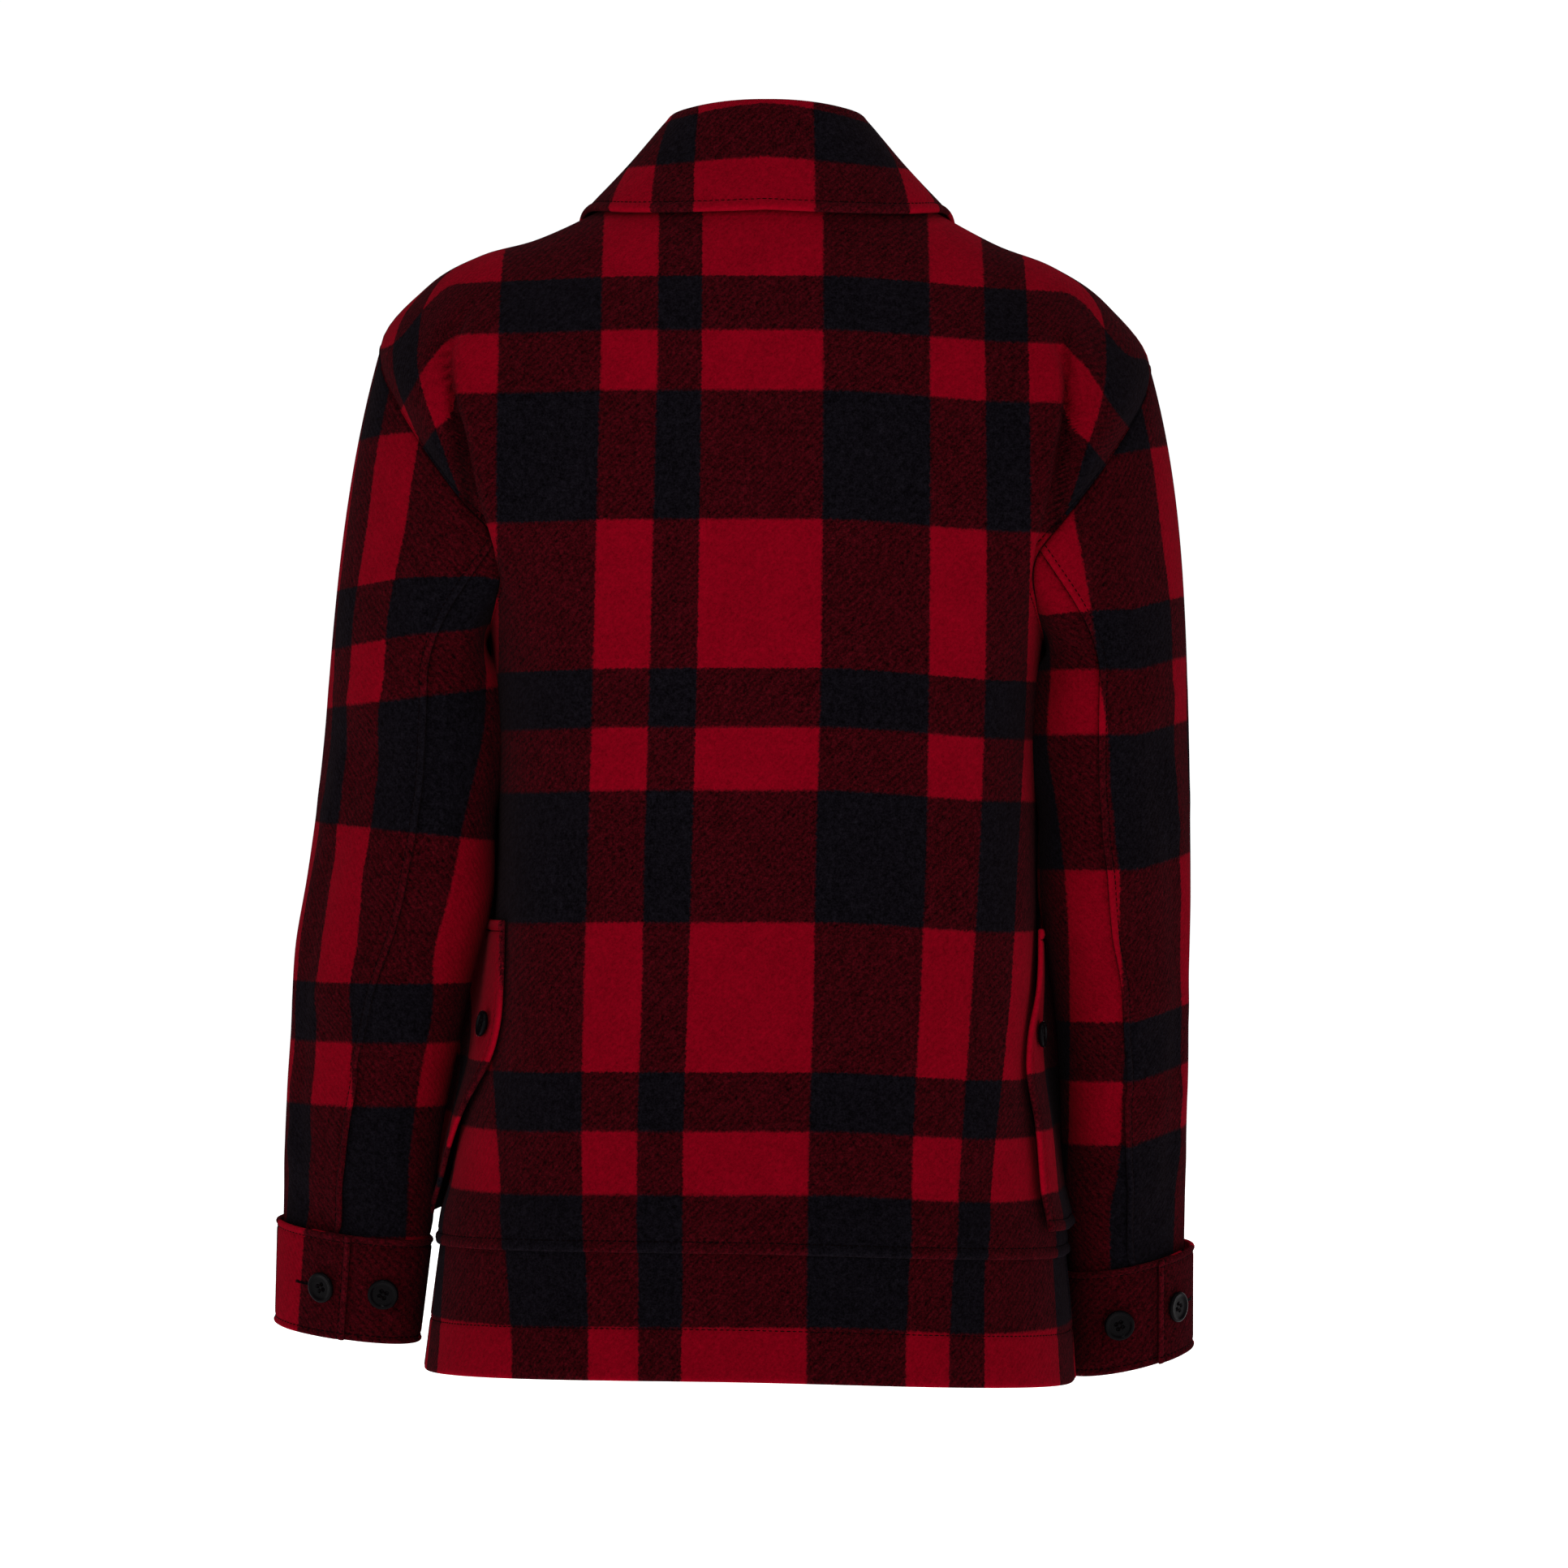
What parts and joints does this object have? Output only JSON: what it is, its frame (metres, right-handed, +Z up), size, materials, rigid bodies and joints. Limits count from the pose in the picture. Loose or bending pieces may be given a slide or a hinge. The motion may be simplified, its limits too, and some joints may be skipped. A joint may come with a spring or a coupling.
{
  "type": "mackinaw jacket",
  "caption": "Hip-length plaid wool mackinaw jacket, filled out hollow, with turned-down collar, set-in sleeves, button cuffs and wrap-round hip pockets.",
  "frame": {"origin": "centre back of the neck seam, where the jacket is held", "axes": "+Z up along the back, front faces -Y, the wearer's left is +X"},
  "size_m": [0.5737, 0.2972, 0.7826],
  "materials": {
    "wool_red": "matte napped wool twill, plaid",
    "wool_maroon": "matte napped wool twill, plaid",
    "button_black": "softly glossy"
  },
  "bodies": {
    "root": {"back": "wool_red", "front_left": "wool_red", "front_right": "wool_red", "pocket_left": "wool_red", "pocket_right": "wool_red", "collar": "wool_red", "back_band": "wool_maroon", "sleeve_left_top": "wool_maroon", "sleeve_left_under": "wool_maroon", "sleeve_right_top": "wool_maroon", "sleeve_right_under": "wool_maroon", "cuff_left": "wool_maroon", "cuff_right": "wool_maroon", "front_button_1": "button_black", "front_button_2": "button_black", "front_button_3": "button_black", "front_button_4": "button_black", "front_button_5": "button_black", "front_button_6": "button_black", "cuff_button_left_1": "button_black", "cuff_button_left_2": "button_black", "cuff_button_right_1": "button_black", "cuff_button_right_2": "button_black", "pocket_button_left": "button_black", "pocket_button_right": "button_black"}
  },
  "joints": []
}
